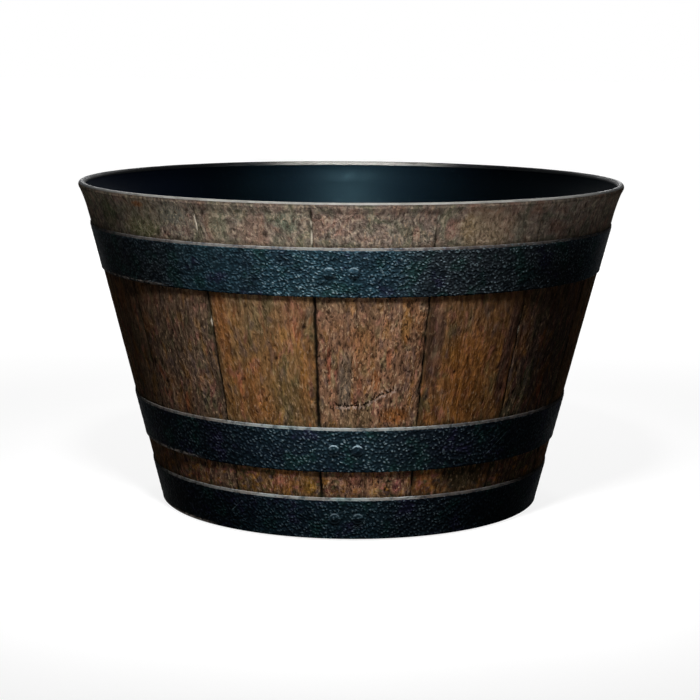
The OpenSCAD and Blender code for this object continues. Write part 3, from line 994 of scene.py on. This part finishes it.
def make_rivets(name, low, high):
    z = (low + high) / 2
    face_r = float(wall_r(np.array(z))) + HOOP_GAP + HOOP_T
    lean = math.atan(float(wall_r(np.array(z + 0.5)) - wall_r(np.array(z - 0.5))))
    half_turn = math.degrees(math.asin(RIVET_PITCH / 2 / face_r))
    profile = [(0.0, -2.4), (1.8, -2.4), (2.0, -2.2), (2.0, -0.34), (HEAD_R - 0.25, -0.34), (HEAD_R, -0.18),
               (HEAD_R, 0.06)]
    for part in (0.985, 0.96, 0.93, 0.89, 0.84, 0.77, 0.68, 0.55, 0.36, 0.16, 0.0):
        profile.append((HEAD_R * part, 0.06 + (HEAD_H - 0.10) * (1 - part**2.2)))
    points, faces, brows, feet = [], [], [], []
    for side in (-1, 1):
        seed = 300 + side + int(low)
        p, f = turned_ring(profile, 48, 0.06, seed)
        p[:, 2] -= 0.07 * (noise(p[:, 0] / 1.3, p[:, 1] / 1.3, seed + 9) * 0.5 + 0.5) * (p[:, 2] > 0.05)
        out = np.hypot(p[:, 0], p[:, 1]) / HEAD_R
        upwards = smooth(0.30, 0.85, p[:, 1] / HEAD_R / np.maximum(out, 0.1))
        # Masks for the painted highlight on each head's upper edge and the painted light on its lower half
        brows.append(smooth(0.74, 0.86, out) * smooth(1.02, 0.95, out) * upwards * (p[:, 2] > 0.1))
        feet.append(smooth(0.0, -0.7, p[:, 1] / HEAD_R) * smooth(0.55, 0.85, out))
        m = np.array(Matrix.Rotation(math.radians(PAIR_TURNS[name] + side * half_turn), 4, "Z")
                     @ Matrix.Translation((0, -face_r, z)) @ Matrix.Rotation(math.pi / 2 + lean, 4, "X"))
        start = sum(len(q) for q in points)
        points.append(p @ m[:3, :3].T + m[:3, 3])
        faces += [tuple(i + start for i in face) for face in f]
    marks = {"brow": np.concatenate(brows), "foot": np.concatenate(feet)}
    return make_piece(name + "_looks", np.concatenate(points), faces, [RIVET], None, marks, sharp=50)


def make_plug():
    flange_top = FLOOR_Z + PLUG_FLANGE_T
    ball_z = PLUG_TOP - GRIP_R
    neck_r = 0.7 * GRIP_R
    edge = PLUG_FLANGE_R
    profile = [
        (0.0, PLUG_LOW + 0.5), (3.0, PLUG_LOW + 0.4), (5.2, PLUG_LOW), (PLUG_STEM_R - 0.5, PLUG_LOW),
        (PLUG_STEM_R, PLUG_LOW + 0.5), (PLUG_STEM_R, FLOOR_Z - 0.02), (edge - 0.4, FLOOR_Z),
        (edge, FLOOR_Z + 0.4), (edge, FLOOR_Z + 1.0), (edge - 0.3, FLOOR_Z + 1.6),
        (edge - 1.2, flange_top - 0.25), (edge - 2.0, flange_top), (edge - 2.8, flange_top),
        (edge - 3.1, flange_top - 0.45),
        (edge - 3.8, flange_top - 0.45), (edge - 4.1, flange_top - 0.05), (6.2, flange_top - 0.05),
        (4.4, flange_top + 0.15), (3.6, flange_top + 0.6), (neck_r, flange_top + 1.2),
    ]
    neck_end = ball_z - math.sqrt(GRIP_R**2 - neck_r**2)
    profile.append((neck_r, neck_end - 0.15))
    first = math.atan2(neck_end - ball_z, neck_r)
    for i in range(1, 15):
        a = first + (math.pi / 2 - first) * i / 14
        profile.append((GRIP_R * math.cos(a) if i < 14 else 0.0, ball_z + GRIP_R * math.sin(a)))
    points, faces = turned_ring(profile, 72, 0.05, 400)
    return make_piece("drain_plug_looks", points, faces, [RUBBER], sharp=50)


WOOD, RIM, INSIDE = wood_look(), rim_look(), inside_look()
HOOP, RIVET, RUBBER = hoop_look(), rivet_look(), rubber_look()

shell = make_shell()
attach(shell, "pot")
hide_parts("pot_shell")
for hoop_name, (hoop_low, hoop_high) in HOOPS.items():
    hoop = make_hoop(hoop_name, hoop_low, hoop_high)
    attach(hoop, "pot")
    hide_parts(hoop_name)
    rivets_node = hoop_name.replace("hoop", "rivets")
    rivets = make_rivets(rivets_node, hoop_low, hoop_high)
    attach(rivets, "pot")
    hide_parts(rivets_node)
plug = make_plug()
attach(plug, "plug")
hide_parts("drain_plug")

# Floor, light and camera

# Distances from the axis, in metres, between which the floor turns fully white
FAR_FLOOR = (0.5, 1.6)
# And those between which it goes from dark, a painted shadow below the pot, to pale
FLOOR_SHADOW_BELOW = (0.116, 0.134)
FLOOR_HALF = 12.0


def floor_look():
    look = Look("pale floor", 0.9, 0.0)
    x, y, z = look.place()
    away = from_axis(look, x, y)
    texture = look.noise((x, y, z), 8.0, 3.0)
    camera_ray, mirrored = look.rays()
    pale = look.mix(texture, (0.15, 0.15, 0.15, 1.0), (0.18, 0.18, 0.18, 1.0))
    look.finish(look.mix(camera_ray, (0.02, 0.02, 0.02, 1.0), pale))
    near_white = camera_ray * away.between(*FAR_FLOOR, 0.86, 1.0, kind="LINEAR")
    # Below the pot the glow is turned down, a painted shadow
    near_white = near_white * away.between(*FLOOR_SHADOW_BELOW, 0.04, 1.0)
    glow = look.fill(look.new("Emission"), Strength=look.larger(near_white, mirrored))
    both = look.fill(look.new("AddShader"), Value(look, look.shader.outputs[0]), glow)
    look.put(look.tree.nodes["Material Output"].inputs["Surface"], both)
    return look.material


floor_mesh = bpy.data.meshes.new("floor")
corners = [(x * FLOOR_HALF, y * FLOOR_HALF, 0) for x, y in ((-1, -1), (1, -1), (1, 1), (-1, 1))]
floor_mesh.from_pydata(corners, [], [(0, 1, 2, 3)])
floor_mesh.materials.append(floor_look())
floor = new_object("floor", floor_mesh)


def world_look(fill):
    """White to the camera and in reflections, and a faint light of strength fill to all else."""
    world = bpy.data.worlds.new("studio")
    bpy.context.scene.world = world
    world.use_nodes = True
    nodes = Nodes(world.node_tree)
    background = nodes.tree.nodes["Background"]
    background.inputs["Color"].default_value = (1.0, 1.0, 1.0, 1.0)
    white = nodes.larger(*nodes.rays()).between(0.0, 1.0, fill, 1.0, kind="LINEAR")
    nodes.put(background.inputs["Strength"], white)


def lamp(name, azimuth, elevation, distance, size, power, aim=(0.0, 0.0, 0.11), spread=180.0, height=None):
    """A round area lamp, or a strip where a height is given. Azimuth 0 is in front of the pot, 90 at +X."""
    data = bpy.data.lights.new(name, "AREA")
    data.shape = "RECTANGLE" if height else "DISK"
    data.size = size
    if height:
        data.size_y = height
    data.energy = power
    data.spread = math.radians(spread)
    o = new_object(name, data)
    a, e = math.radians(azimuth), math.radians(elevation)
    back = Vector((math.sin(a) * math.cos(e), -math.cos(a) * math.cos(e), math.sin(e)))
    o.location = Vector(aim) + back * distance
    o.rotation_mode = "QUATERNION"
    o.rotation_quaternion = back.to_track_quat("Z", "Y")
    o.visible_camera = False


# The key comes from high up in front. The strip lights the band below the rim from below, the front lamp the
# staves and the lower hoops, and the inside lamp the far wall. The two lamps behind light the back.
world_look(0.045)
lamp("key", -5.8, 61.0, distance=0.95, size=0.17, power=1.52, aim=(-0.012, -0.17, 0.135), spread=40.0)
lamp("strip", 2.0, -6.0, distance=0.5, size=0.46, power=0.035, aim=(0.01, -0.165, 0.236), spread=13.5,
     height=0.02)
lamp("front", -2.0, -2.0, distance=1.6, size=0.1, power=0.03, aim=(-0.014, -0.16, 0.115), spread=11.0)
lamp("inside", 1.5, 18.5, distance=1.8, size=0.1, power=0.26, aim=(0.002, 0.17, 0.219), spread=5.4)
lamp("back_left", -167.0, 22.0, distance=1.8, size=0.5, power=12.0)
lamp("back_right", 167.0, 22.0, distance=1.8, size=0.5, power=12.0)

CAMERA_AIM = Vector((0.0, 0.0, 0.107))
CAMERA_AT = Vector((0.0, -1.372, 0.337))
CAMERA_ROLL = math.radians(0.41)
camera_data = bpy.data.cameras.new("camera")
camera_data.sensor_width = 36.0
camera_data.lens = 97.8
camera = new_object("camera", camera_data)
camera.location = CAMERA_AT
camera.rotation_mode = "QUATERNION"
looking = (CAMERA_AIM - CAMERA_AT).to_track_quat("-Z", "Y")
camera.rotation_quaternion = looking @ Matrix.Rotation(CAMERA_ROLL, 3, "Z").to_quaternion()
bpy.context.scene.camera = camera

bpy.context.scene.view_settings.view_transform = "Standard"
